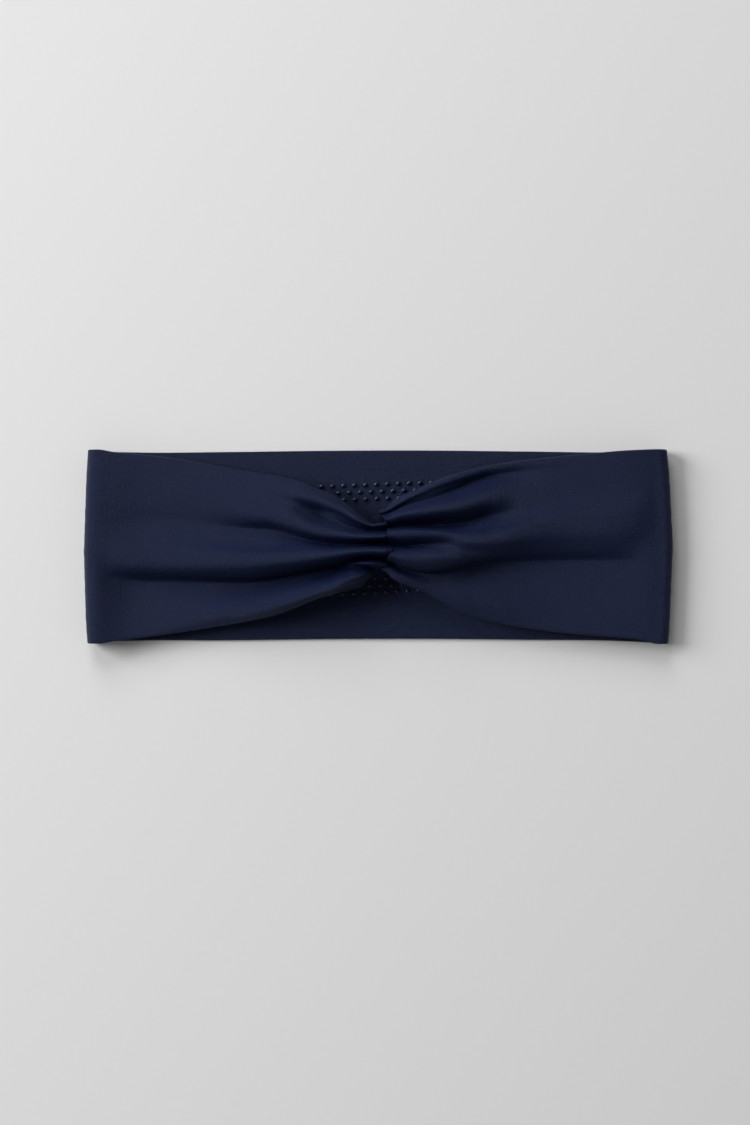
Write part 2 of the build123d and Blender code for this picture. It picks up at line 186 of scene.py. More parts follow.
# Folds that run in from the centre seam: x, y, rise, reach towards +Y, reach towards -Y, lean. The rise
# of a crease is negative. The lean pushes the fold over towards +Y. Every rise is times FOLD_DEPTH.
FOLD_DEPTH = 1.35
LEFT_FOLDS = [
    # roll of the top edge above the hollow
    [(-48, 25.0, 0.0, 3.5, 3.5, 0), (-36, 22.6, 0.8, 3.2, 3.2, 0), (-27, 19.6, 1.4, 3.0, 2.8, 0),
     (-17, 16.2, 1.5, 3.0, 2.4, 0), (-9, 11.6, 1.4, 2.4, 1.8, 0), (-3, 8.8, 1.0, 1.4, 1.0, 0),
     (3.2, 9.4, 0.8, 1.4, 0.9, 0)],
    # upper crease, which opens into a hollow
    [(-36, 15.6, 0.0, 3.5, 4.0, 0), (-29, 14.8, -1.3, 3.0, 3.8, 0), (-23, 13.2, -2.5, 2.8, 3.8, 0),
     (-16, 9.8, -1.8, 2.6, 2.4, 0), (-9, 7.3, -1.7, 1.4, 1.4, 0), (-3, 6.6, -2.2, 0.9, 1.2, 0),
     (3.2, 6.9, -2.6, 0.9, 1.2, 0)],
    # first pleat
    [(-60, 17.0, 0.0, 9.0, 7.0, 0), (-38, 11.6, 0.7, 6.0, 4.5, 0), (-27, 7.4, 1.1, 3.8, 3.4, 0),
     (-17, 5.2, 1.6, 3.0, 2.6, 0), (-9, 4.2, 2.2, 1.7, 2.2, 0), (3.2, 4.7, 2.4, 1.3, 2.0, 0)],
    # crease between the first and second pleats
    [(-112, 10.0, 0.0, 6.0, 6.0, 0), (-98, 10.8, -0.5, 6.0, 7.0, 0), (-79, 10.6, -0.9, 5.5, 8.0, 0),
     (-63, 8.4, -1.3, 4.0, 7.0, 0), (-51, 7.4, -2.2, 2.8, 6.0, 0), (-42, 6.8, -2.7, 2.3, 5.0, 0),
     (-34, 4.4, -2.8, 2.0, 3.6, 0), (-27, 2.5, -2.8, 1.8, 2.2, 0),
     (-17, 0.9, -3.2, 1.5, 1.7, 0), (-9, 0.9, -3.3, 1.3, 1.2, 0), (3.2, 1.5, -3.3, 1.3, 1.1, 0)],
    # second pleat, the long one
    [(-112, -4.0, 0.0, 10.0, 8.0, 0), (-99, -3.4, 0.8, 7.5, 7.5, 0), (-79, -3.8, 1.3, 6.5, 6.5, 0),
     (-63, -4.2, 1.8, 4.6, 6.0, 0), (-51, -4.4, 2.3, 3.9, 5.4, 0), (-39, -4.0, 2.6, 3.4, 4.6, 0),
     (-27, -3.0, 2.7, 3.2, 4.2, 0), (-17, -2.2, 2.8, 2.6, 3.2, 0), (-9, -1.2, 2.8, 1.9, 2.5, 0),
     (3.2, -1.1, 2.8, 1.3, 2.0, 0)],
    # crease under the long pleat
    [(-114, -10.0, 0.0, 5.0, 24.0, 0), (-99, -13.2, -1.9, 3.2, 26.0, 0), (-79, -13.9, -3.0, 2.4, 24.0, 0),
     (-63, -14.2, -4.0, 2.2, 15.5, 0), (-51, -14.2, -4.8, 2.0, 11.0, 0), (-39, -12.6, -5.3, 1.9, 8.6, 0),
     (-27, -10.2, -5.2, 1.8, 6.2, 0), (-17, -8.2, -4.9, 1.6, 4.0, 0), (-9, -5.4, -3.8, 1.2, 1.8, 0),
     (-4, -4.6, -3.2, 1.0, 1.2, 0), (3.2, -4.6, -3.0, 1.0, 1.2, 0)],
    # small pleat
    [(-24, -7.4, 0.0, 1.0, 1.2, 0), (-14, -6.2, 1.1, 0.9, 1.1, 0), (-6, -6.1, 1.8, 1.1, 1.1, 0),
     (3.2, -6.8, 2.0, 1.2, 1.2, 0)],
    # crease under the small pleat
    [(-22, -9.5, 0.0, 1.2, 2.0, 0), (-14, -8.4, -1.2, 0.9, 1.6, 0), (-8, -8.2, -2.2, 0.8, 1.3, 0),
     (-3, -8.4, -2.8, 0.8, 1.2, 0), (3.2, -9.2, -2.8, 0.8, 1.2, 0)],
    # lower pleat, which turns under before the seam
    [(-104, -33.5, 0.0, 8.0, 5.0, 0), (-79, -28.6, 0.8, 8.0, 5.0, 0), (-63, -25.6, 1.5, 6.5, 4.6, 0),
     (-51, -24.6, 2.1, 6.0, 4.4, 0), (-39, -21.6, 2.6, 5.0, 4.0, 0), (-27, -18.0, 3.0, 4.0, 3.5, 0),
     (-17, -15.4, 3.0, 3.2, 3.0, 0), (-9, -12.4, 2.7, 2.6, 2.8, 0), (-4, -11.2, 1.6, 1.8, 2.4, 0),
     (-1, -10.6, 0.2, 1.2, 2.0, 0), (3.2, -10.2, -1.4, 1.0, 2.0, 0)],
]
RIGHT_FOLDS = [
    # thin roll of the top edge
    [(3.2, 13.4, 0.3, 0.8, 0.9, 0), (14, 20.6, 0.4, 1.1, 1.4, 0), (28, 27.0, 0.5, 1.2, 2.0, 0),
     (44, 31.2, 0.5, 1.4, 2.4, 0), (62, 33.6, 0.4, 2.0, 2.6, 0), (80, 35.8, 0.0, 2.4, 2.6, 0)],
    # hollow between the top edge and the first pleat
    [(3.2, 12.5, -1.2, 0.8, 0.9, 0), (12, 16.4, -1.4, 2.0, 1.3, 0), (21, 18.8, -1.9, 3.2, 2.2, 0),
     (33, 23.5, -2.6, 3.0, 3.2, 0), (41, 27.0, -2.3, 2.6, 3.8, 0),
     (51, 29.4, -1.5, 2.6, 5.0, 0), (70, 31.5, 0.0, 4.0, 8.0, 0)],
    # first pleat
    [(3.2, 10.7, 1.4, 0.8, 2.6, 0.4), (12, 12.7, 1.9, 1.4, 3.6, 0.3), (21, 15.0, 2.2, 2.2, 4.4, 0.2),
     (33, 17.4, 1.9, 3.2, 5.2, 0), (44, 20.5, 1.3, 4.0, 6.5, 0), (58, 23.0, 0.0, 7.0, 8.0, 0)],
    # crease between the first and second pleats, which opens into a hollow
    [(3.2, 7.3, -3.0, 2.2, 0.9, 0), (10, 8.0, -3.6, 2.4, 0.9, 0), (16, 8.0, -3.9, 2.8, 0.9, 0),
     (24, 8.2, -3.7, 3.2, 1.2, 0), (35, 9.6, -2.9, 3.4, 2.2, 0), (43, 12.2, -2.3, 3.6, 3.0, 0),
     (50, 13.6, -1.1, 4.0, 3.4, 0), (60, 15.5, 0.0, 5.0, 5.0, 0)],
    # second pleat
    [(3.2, 5.4, 2.0, 1.2, 3.3, 0.5), (12, 5.6, 2.2, 1.2, 3.6, 0.6), (24, 5.4, 2.2, 1.6, 4.0, 0.5),
     (33, 4.6, 2.1, 2.0, 4.0, 0.3), (41, 4.4, 2.2, 3.0, 5.0, 0), (50, 5.2, 2.3, 3.6, 6.0, 0),
     (60, 7.6, 2.0, 4.6, 7.5, 0), (76, 10.0, 1.5, 6.5, 9.0, 0), (100, 11.5, 0.9, 8.0, 9.0, 0),
     (111, 15.0, 0.0, 9.0, 9.0, 0)],
    # short crease
    [(3.2, 1.0, -3.0, 1.1, 1.0, 0), (10, 0.7, -3.2, 1.1, 1.0, 0), (16, 1.0, -2.4, 1.3, 1.2, 0),
     (24, 1.6, -1.0, 1.6, 1.6, 0), (33, 2.2, 0.0, 2.0, 2.0, 0)],
    # third pleat, a full lobe
    [(3.2, -2.8, 1.7, 2.0, 2.0, 0), (10, -3.2, 2.1, 2.6, 3.0, -0.4), (20, -4.0, 2.9, 3.8, 3.4, -0.8),
     (28, -3.6, 2.3, 4.2, 3.6, -0.7), (38, -1.6, 1.2, 5.5, 4.0, -0.3), (54, 0.0, 0.4, 8.0, 6.0, 0),
     (70, 0.6, 0.0, 8.0, 8.0, 0)],
    # deep crease under the lobe
    [(3.2, -6.1, -2.2, 0.9, 1.4, 0), (9.8, -8.2, -3.2, 1.1, 2.4, 0), (16, -9.9, -4.0, 1.3, 4.0, 0),
     (21, -10.3, -4.6, 1.5, 6.0, 0), (27, -9.8, -4.8, 1.7, 8.0, 0), (33, -8.6, -4.7, 1.8, 10.0, 0),
     (39, -7.4, -4.3, 1.9, 14.0, 0), (46, -6.3, -3.8, 2.0, 19.0, 0), (56, -5.7, -3.0, 2.3, 26.0, 0),
     (74, -5.4, -2.1, 2.8, 32.0, 0), (97, -5.4, -1.3, 3.6, 34.0, 0), (111, -5.4, 0.0, 5.0, 34.0, 0)],
]


def linear(code):
    """An sRGB hex colour as linear red, green and blue."""
    parts = [int(code[i : i + 2], 16) / 255 for i in (1, 3, 5)]
    return [c / 12.92 if c <= 0.04045 else ((c + 0.055) / 1.055) ** 2.4 for c in parts]


# Shapes of cloth, as grids of points


def along(rows, x):
    """The smooth curves through the rows at every x, with the rows' other columns last."""
    table = np.array(sorted(rows), float)
    at, values = table[:, 0], table[:, 1:]
    slopes = np.gradient(values, at, axis=0)
    slopes[[0, -1]] = 0
    x = np.clip(np.asarray(x, float), at[0], at[-1])
    k = np.clip(np.searchsorted(at, x) - 1, 0, len(at) - 2)
    span = (at[k + 1] - at[k])[..., None]
    t = (x - at[k])[..., None] / span
    return (
        (2 * t**3 - 3 * t**2 + 1) * values[k]
        + (t**3 - 2 * t**2 + t) * span * slopes[k]
        + (3 * t**2 - 2 * t**3) * values[k + 1]
        + (t**3 - t**2) * span * slopes[k + 1]
    )


def ease(t):
    """0 below t = 0, 1 above t = 1, and a smooth step between."""
    t = np.clip(t, 0, 1)
    return t * t * (3 - 2 * t)


def folded(folds, x, y):
    """How far the folds move the cloth at x, y: across the band, and up."""
    across, rise = np.zeros_like(y), np.zeros_like(y)
    for rows in folds:
        low, high = min(row[0] for row in rows), max(row[0] for row in rows)
        fold_y, height, up, down, lean = np.moveaxis(along(rows, x), -1, 0)
        off = y - fold_y
        share = np.abs(off) / np.where(off > 0, up, down)
        # A pleat has a broad top, broader on its -Y side, and a crease has a sharp bottom.
        power = np.where(height > 0, np.where(off > 0, 2.5, 3.6), 1.5)
        shape = np.exp(-(share**power))
        inside = (x >= low - 0.01) & (x <= high + 0.01)
        rise += inside * FOLD_DEPTH * height * shape
        across += inside * lean * np.exp(-((off / (up + down)) ** 2))
    return across, rise


def uneven(x, y):
    """The slight unevenness of cloth that has been worn and laid down by hand, in millimetres."""
    broad = np.sin(x / 17 + y / 23 + 0.4) + 0.8 * np.sin(x / 11 - y / 14 + 2.1)
    narrow = np.sin(x / 5.3 + y / 19 + 1.0) + np.sin(x / 7.9 - y / 6.1 + 3.3)
    return 0.09 * broad + 0.03 * narrow


def grid_normals(points):
    """Unit normals of a grid of points, on the side of (next column) x (next row)."""
    normals = np.cross(np.gradient(points, axis=0), np.gradient(points, axis=1))
    return normals / np.linalg.norm(normals, axis=-1, keepdims=True)


def rolled(edge, inner, normal, radius, turns):
    """Rows that carry a sheet on round a roll of cloth, past its row edge. inner is the row before it."""
    away = edge - inner
    away -= normal * np.sum(away * normal, axis=-1, keepdims=True)
    away /= np.linalg.norm(away, axis=-1, keepdims=True)
    angles = np.radians(turns)
    return [edge + radius * (math.sin(a) * away - (1 - math.cos(a)) * normal) for a in angles]


def with_rolled_edges(points, radius, turns, facing=1):
    """The grid with rolls along its first and last rows, turning away from the side it faces."""
    normals = grid_normals(points) * facing
    low = rolled(points[:, 0], points[:, 1], normals[:, 0], radius, turns)
    high = rolled(points[:, -1], points[:, -2], normals[:, -1], radius, turns)
    return np.concatenate([np.stack(low[::-1], 1), points, np.stack(high, 1)], axis=1)


def smoothed(heights, passes):
    """Heights blurred a little along both directions of the grid."""
    for _ in range(passes):
        padded = np.pad(heights, 1, mode="edge")
        heights = (
            4 * heights + padded[:-2, 1:-1] + padded[2:, 1:-1] + padded[1:-1, :-2] + padded[1:-1, 2:]
        ) / 8
    return heights


def lowest_near(heights, reach):
    """The lowest of the heights within reach rows of each point."""
    found = heights.copy()
    for step in range(1, reach + 1):
        found[:, step:] = np.minimum(found[:, step:], heights[:, :-step])
        found[:, :-step] = np.minimum(found[:, :-step], heights[:, step:])
    return found


def side_share(x):
    """0 on the flat part of the loop, rising to 1 where a side fold begins."""
    return ease((np.abs(x) - SIDE_START_X) / (FOLD_X - SIDE_START_X))


def seam_arc(x, turn):
    """How far along the cloth a point is from the side seam, which runs down the middle of a side fold."""
    return (np.radians(90) - turn) * MID_Z + np.abs(np.abs(x) - FOLD_X)


def fold_turns():
    """Turns round half a side fold, from the side seam, with the closest ones at the flat part."""
    return np.radians(90) * (1 - np.linspace(0, 1, TURN_COLUMNS)[:-1] ** 1.6)


def spread(x, turn, y):
    """The columns' x and turn repeated for every row of y."""
    return np.broadcast_to(x[:, None], y.shape), np.broadcast_to(turn[:, None], y.shape)


def around_fold(side, x, y, height, turn):
    """Points at a height above the loop's middle plane, carried round a side fold by turn (radians)."""
    out = height - MID_Z
    apex = np.interp(y, *zip(*(LEFT_APEX if side < 0 else RIGHT_APEX)))
    across = x + side * out * np.sin(turn) + side_share(x) * (apex - side * APEX_X)
    return np.stack([across, y, MID_Z + out * np.cos(turn)], axis=-1)


def side_seam_dip(arc, y):
    """How far cloth is drawn in near a side seam: the seam's own groove and the puckers beside it."""
    groove = 0.45 * np.exp(-((arc / 0.45) ** 2))
    pucker = 0.04 * (np.sin(y / 0.83 + 0.7) + np.sin(y / 1.31)) * np.exp(-arc / 3.0)
    return groove + pucker


def front_columns(side):
    """Positions along a front panel: x, and the turn round the side fold, from side seam to centre."""
    turns = fold_turns()
    far = np.linspace(side * FOLD_X, SEAM_X + side * NEAR_X, FAR_COLUMNS)
    near = np.linspace(SEAM_X + side * NEAR_X, SEAM_X, NEAR_COLUMNS)[1:]
    x = np.concatenate([np.full(len(turns), side * FOLD_X), far, near])
    return x, np.concatenate([turns, np.zeros(len(far) + len(near))])


def front_heights(side, x, turn, y):
    """Sideways shift and height of a front panel's outer face, before it is carried round the fold."""
    stations, folds = (LEFT_STATIONS, LEFT_FOLDS) if side < 0 else (RIGHT_STATIONS, RIGHT_FOLDS)
    top, bottom, crown, top_z, bottom_z = np.moveaxis(along(stations, x), -1, 0)
    share = (2 * y - top - bottom) / (top - bottom)
    edge_z = np.where(share > 0, top_z, bottom_z)
    height = crown + (edge_z - crown) * np.abs(share) ** 3
    across, rise = folded(folds, x, y)
    calm = 1 - ease((np.abs(x) - 100) / 12)
    height = height + rise + uneven(x, y) * (0.4 + 0.6 * calm)
    height = FOLD_HEIGHT + (height - FOLD_HEIGHT) * np.cos(turn) ** 2
    return across, height - side_seam_dip(seam_arc(x, turn), y)


def front_rows(side, x, count, inset):
    """y of every point of a front panel: count rows, evenly spread between the long edges."""
    top, bottom = along(LEFT_STATIONS if side < 0 else RIGHT_STATIONS, x)[..., :2].T
    share = np.linspace(0, 1, count)
    return (bottom + inset)[:, None] + (top - bottom - 2 * inset)[:, None] * share


def to_seam_line(side, points, x, gap):
    """Slides the columns near the centre seam so that the last one lies on the seam's own line."""
    pull = ease(1 - np.abs(x - SEAM_X) / SEAM_REACH)
    line = np.interp(points[..., 1], *zip(*SEAM_LINE))
    points[..., 0] += pull * (line - SEAM_X) + (side * gap) * pull
    return points


def front_shell_points(side, layer):
    """Outer face of a front panel's shell, with its turned-down end and its rolled long edges."""
    x, turn = front_columns(side)
    y = front_rows(side, x, SHELL_ROWS, layer)
    x, turn = spread(x, turn, y)
    across, height = front_heights(side, x, turn, y)
    if side < 0:
        height = height - LEFT_SINK * np.exp(-(((x - SEAM_X) / LEFT_SINK_REACH) ** 2))
    points = around_fold(side, x, y + across, height, turn)
    points = to_seam_line(side, points, x, 0.0 if side > 0 else LEFT_GAP)
    down = np.array([0, 0, 1.0]) * np.ones_like(points[-1])
    radius = 0.8 if side > 0 else 0.35
    end = rolled(points[-1], points[-2], down, radius, (15, 32, 50, 70, 90))
    drop = (end[-1][:, 2] - ALLOWANCE_FOOT)[:, None]
    end += [end[-1] - down * drop * share for share in (0.12, 0.3, 0.55, 0.8, 1.0)]
    points = np.concatenate([points, np.stack(end)])
    if side > 0:
        points = points[::-1]
    return with_rolled_edges(points, layer, SHELL_ROLL)


def front_lining_points(side, layer):
    """Inner face of a front panel's lining, which lies a panel's thickness under the shell's face."""
    x, turn = front_columns(side)
    keep = np.abs(x - SEAM_X) > 1.0
    x, turn = x[keep], turn[keep]
    y = front_rows(side, x, LINING_ROWS, layer)
    x, turn = spread(x, turn, y)
    height = front_heights(side, x, turn, y)[1]
    height = smoothed(lowest_near(height, 3), 4) - 2 * layer
    points = around_fold(side, x, y, height, turn)
    points = to_seam_line(side, points, x, 0.0)
    drop = (points[-1][:, 2] - ALLOWANCE_FOOT)[:, None] * np.array([0, 0, 1.0])
    ends = [points[-1] - drop * share for share in (0.1, 0.25, 0.5, 0.75, 1.0)]
    points = np.concatenate([points, np.stack(ends)])
    if side > 0:
        points = points[::-1]
    return with_rolled_edges(points, layer, LINING_ROLL, facing=-1)


def back_surface(x, turn, y, depth):
    """Points of the back panel at a depth under its outer face, where turn goes round the side folds."""
    half = np.where(x < 0, -1, 1)
    out = MID_Z - depth
    left, right = (np.interp(y, *zip(*rows)) for rows in (LEFT_APEX, RIGHT_APEX))
    past = np.where(x < 0, left + APEX_X, right - APEX_X)
    across = x + half * out * np.sin(turn) + side_share(x) * past
    return np.stack([across, y, MID_Z - out * np.cos(turn)], axis=-1)


def back_columns():
    """Positions along the back panel: x, the turn round the side folds, and the two long edges' y."""
    turns = fold_turns()
    flat = np.linspace(-FOLD_X, FOLD_X, BACK_COLUMNS)
    x = np.concatenate([np.full(len(turns), -FOLD_X), flat, np.full(len(turns), FOLD_X)])
    turn = np.concatenate([turns, np.zeros(len(flat)), turns[::-1]])
    top, bottom = along(BACK_EDGES, x + np.sign(x) * MID_Z * np.sin(turn)).T
    return x, turn, top, bottom


def back_points(layer, inner):
    """A face of the back panel, from one side seam round under the loop to the other."""
    x, turn, top, bottom = back_columns()
    share = np.linspace(0, 1, BACK_ROWS)
    y = (bottom + layer)[:, None] + (top - bottom - 2 * layer)[:, None] * share
    x, turn = spread(x, turn, y)
    if inner:
        edge = np.minimum(y - bottom[:, None], top[:, None] - y)
        depth = 2 * layer - 0.7 * np.abs(uneven(x, y)) * ease(edge / 8)
    else:
        depth = np.maximum(side_seam_dip(seam_arc(x, turn), y), 0)
    points = back_surface(x, turn, y, depth)
    return with_rolled_edges(points, layer, LINING_ROLL if inner else SHELL_ROLL, facing=1 if inner else -1)


# Lines of stitches, as points


def stitch_runs(line, stitch, share):
    """The (start, end) points of stitches along a line of points."""
    walked = np.concatenate([[0], np.cumsum(np.linalg.norm(np.diff(line, axis=0), axis=-1))])

    def at(far):
        return np.array([np.interp(far, walked, line[:, k]) for k in range(3)])

    starts = np.arange(stitch / 2, walked[-1] - stitch, stitch)
    return [(at(start), at(start + stitch * share)) for start in starts]


def front_edge_line(side, edge, inset, depth):
    """A line between a front panel's shell and lining, inset from its top (0) or bottom (1) edge."""
    x, turn = front_columns(side)
    keep = np.abs(x - SEAM_X) > 4
    x, turn = x[keep], turn[keep]
    stations = LEFT_STATIONS if side < 0 else RIGHT_STATIONS
    y = along(stations, x)[:, edge] - (inset if edge == 0 else -inset)
    across, height = front_heights(side, x, turn, y)
    points = around_fold(side, x, y + across, height - depth, turn)
    return to_seam_line(side, points, x, 0.0)


def back_edge_line(edge, inset, depth):
    """A line between the back panel's shell and lining, inset from its top (0) or bottom (1) edge."""
    x, turn, top, bottom = back_columns()
    y = top - inset if edge == 0 else bottom + inset
    return back_surface(x, turn, y, np.full_like(y, depth))


def side_seam_runs(side, depths, half, spacing, bite):
    """Stitches across a side seam, in rows at these depths under the outer face."""
    runs = []
    apex = LEFT_APEX if side < 0 else RIGHT_APEX
    for depth in depths:
        for y in np.arange(-half, half + 0.1, spacing):
            x = np.interp(y, *zip(*apex)) - side * depth
            runs.append((np.array([x, y, MID_Z - bite]), np.array([x, y, MID_Z + bite])))
    return runs


def ladder_runs(low, high, height, half_width, spacing):
    """Lockstitch through the centre seam: a run of stitches on each face, and the crossings between."""
    runs = []
    for y in np.arange(low, high - spacing + 0.1, spacing):
        ends = [np.array([binding_x(at), at, height]) for at in (y, y + spacing)]
        off = np.array([half_width, 0, 0])
        runs += [(ends[0] - off, ends[1] - off), (ends[0] + off, ends[1] + off)]
        runs.append((ends[0] - off, ends[0] + off))
    return runs


def overcast_runs(low, high, height, half_width, spacing):
    """Overcasting along the top of the binding: thread that crosses the raw edges, one way and back."""
    runs = []
    for k, y in enumerate(np.arange(low, high, spacing)):
        lean = spacing * (0.9 if k % 2 else -0.9)
        left = np.array([binding_x(y) - half_width, y - lean / 2, height - 0.2])
        right = np.array([binding_x(y) + half_width, y + lean / 2, height - 0.2])
        middle = (left + right) / 2 + np.array([0, 0, 0.35])
        runs += [(left, middle), (middle, right)]
        runs += [(left, left - np.array([0.05, 0, 1.1])), (right, right - np.array([-0.05, 0, 1.1]))]
    return runs


def binding_x(y):
    """Where the binding runs under the seam."""
    return np.interp(y, *zip(*BINDING_LINE))


def binding_points():
    """Outer face of the tape that wraps the raw edges: up one side, round under them and up the other."""
    y = np.linspace(BINDING_LOW_Y, BINDING_HIGH_Y, BINDING_ROWS)
    foot, top, half = ALLOWANCE_FOOT - 0.7, BINDING_TOP, BINDING_WIDTH / 2
    corner = BINDING_CORNER
    rise = np.linspace(0, 1, 9)[:-1]
    left = [(-half, top + (foot + corner - top) * t) for t in rise]
    turn = [np.radians(a) for a in np.linspace(180, 270, 7)]
    round_left = [(-half + corner + corner * np.cos(a), foot + corner + corner * np.sin(a)) for a in turn]
    across = [(-half + corner + (2 * half - 2 * corner) * t, foot) for t in (0.33, 0.67)]
    section = np.array(left + round_left + across + [(-u, z) for u, z in (left + round_left)[::-1]])
    u, z = np.broadcast_to(section[:, 0], (len(y), len(section))), section[:, 1]
    ripple = 0.12 * np.sin(y / 0.9)[:, None] * (z > foot + corner)
    along_y = np.broadcast_to(y[:, None], u.shape)
    x = binding_x(y)[:, None] + u + ripple * np.sign(u)
    return np.stack([x, along_y, np.broadcast_to(z, u.shape) + 0.1 * np.sin(along_y / 1.4)], axis=-1)


# Blender pieces


def finish_piece(piece, *nodes, slot):
    """Puts a finished piece on the frame: it rides and stands for its CAD nodes. Its slot is not used."""
    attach(piece, "root")
    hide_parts(*nodes)


def cloth(name, points, thickness, material, faces_up=True):
    """A sheet of cloth from a grid of points on its outer face, in millimetres, with a UV in metres."""
    columns, rows = points.shape[:2]
    index = np.arange(columns * rows).reshape(columns, rows)
    quads = np.stack([index[:-1, :-1], index[1:, :-1], index[1:, 1:], index[:-1, 1:]], -1).reshape(-1, 4)
    if not faces_up:
        quads = quads[:, ::-1]
    mesh = bpy.data.meshes.new(name)
    mesh.from_pydata((points.reshape(-1, 3) * MM).tolist(), [], quads.tolist())
    steps_x = np.linalg.norm(np.diff(points, axis=0), axis=-1).mean(axis=1)
    steps_y = np.linalg.norm(np.diff(points, axis=1), axis=-1)
    run_x = np.concatenate([[0], np.cumsum(steps_x)])
    run_y = np.concatenate([np.zeros((columns, 1)), np.cumsum(steps_y, axis=1)], axis=1)
    run_y -= run_y[:, rows // 2 : rows // 2 + 1]
    flat = np.stack([np.broadcast_to(run_x[:, None], run_y.shape), run_y], -1).reshape(-1, 2) * MM
    layer = mesh.uv_layers.new(name="Cloth")
    corners = np.empty(len(mesh.loops), dtype=np.int32)
    mesh.loops.foreach_get("vertex_index", corners)
    layer.uv.foreach_set("vector", flat[corners].astype(np.float32).ravel())
    mesh.materials.append(material)
    piece = bpy.data.objects.new(name, mesh)
    bpy.context.collection.objects.link(piece)
    bpy.ops.object.select_all(action="DESELECT")
    piece.select_set(True)
    bpy.context.view_layer.objects.active = piece
    body = piece.modifiers.new("Layer", "SOLIDIFY")
    body.thickness = thickness * MM
    body.offset = -1
    bpy.ops.object.modifier_apply(modifier=body.name)
    bpy.ops.object.shade_smooth_by_angle(angle=SMOOTH_ANGLE)
    return piece


def finished_mesh(name, material):
    """Shades the active object smooth, names it and gives it its material."""
    bpy.ops.object.shade_smooth_by_angle(angle=SMOOTH_ANGLE)
    piece = bpy.context.active_object
    piece.name = name
    piece.data.materials.append(material)
    return piece


def copied(template, places):
    """Copies of a modelled object, each with its own mesh at one of the places, joined to one piece."""
    bpy.ops.object.select_all(action="DESELECT")
    for place in places:
        copy = template.copy()
        copy.data = template.data.copy()
        copy.data.transform(place)
        bpy.context.collection.objects.link(copy)
        copy.select_set(True)
    bpy.context.view_layer.objects.active = copy
    bpy.data.objects.remove(template)
    bpy.ops.object.join()
    return bpy.context.active_object


def stitch_piece(name, runs, radius, material):
    """A seam's thread: a round-ended stitch, modelled once, and copied to every run at the run's length."""
    length = max(np.linalg.norm(end - start) for start, end in runs)
    bpy.ops.object.select_all(action="DESELECT")
    bpy.ops.mesh.primitive_cylinder_add(
        vertices=8, radius=radius, depth=length * MM, location=(0, 0, length * MM / 2)
    )
    bpy.ops.object.transform_apply(location=True)
    bpy.ops.object.mode_set(mode="EDIT")
    bpy.ops.mesh.select_all(action="DESELECT")
    bpy.ops.object.mode_set(mode="OBJECT")
    stitch = bpy.context.active_object
    for face in stitch.data.polygons:
        face.select = abs(face.normal.z) > 0.9
    bpy.ops.object.mode_set(mode="EDIT")
    bpy.ops.mesh.bevel(offset=radius * 0.55, segments=2, affect="EDGES")
    bpy.ops.object.mode_set(mode="OBJECT")
    places = []
    for start, end in runs:
        a, b = Vector(start * MM), Vector(end * MM)
        turn = (b - a).to_track_quat("Z", "X").to_matrix().to_4x4()
        stretch = Matrix.Diagonal((1, 1, (b - a).length / (length * MM), 1))
        places.append(Matrix.Translation(a) @ turn @ stretch)
    copied(stitch, places)
    return finished_mesh(name, material)


# Materials


def node(tree, kind, settings=None, inputs=None):
    """Adds a node of this kind, with its own settings, and its inputs set or linked."""
    made = tree.nodes.new(kind)
    for key, value in (settings or {}).items():
        setattr(made, key, value)
    for key, value in (inputs or {}).items():
        if isinstance(value, bpy.types.NodeSocket):
            tree.links.new(value, made.inputs[key])
        else:
            made.inputs[key].default_value = value
    return made


def new_material(name):
    """An empty node material."""
    material = bpy.data.materials.new(name)
    material.use_nodes = True
    material.node_tree.nodes.clear()
    return material


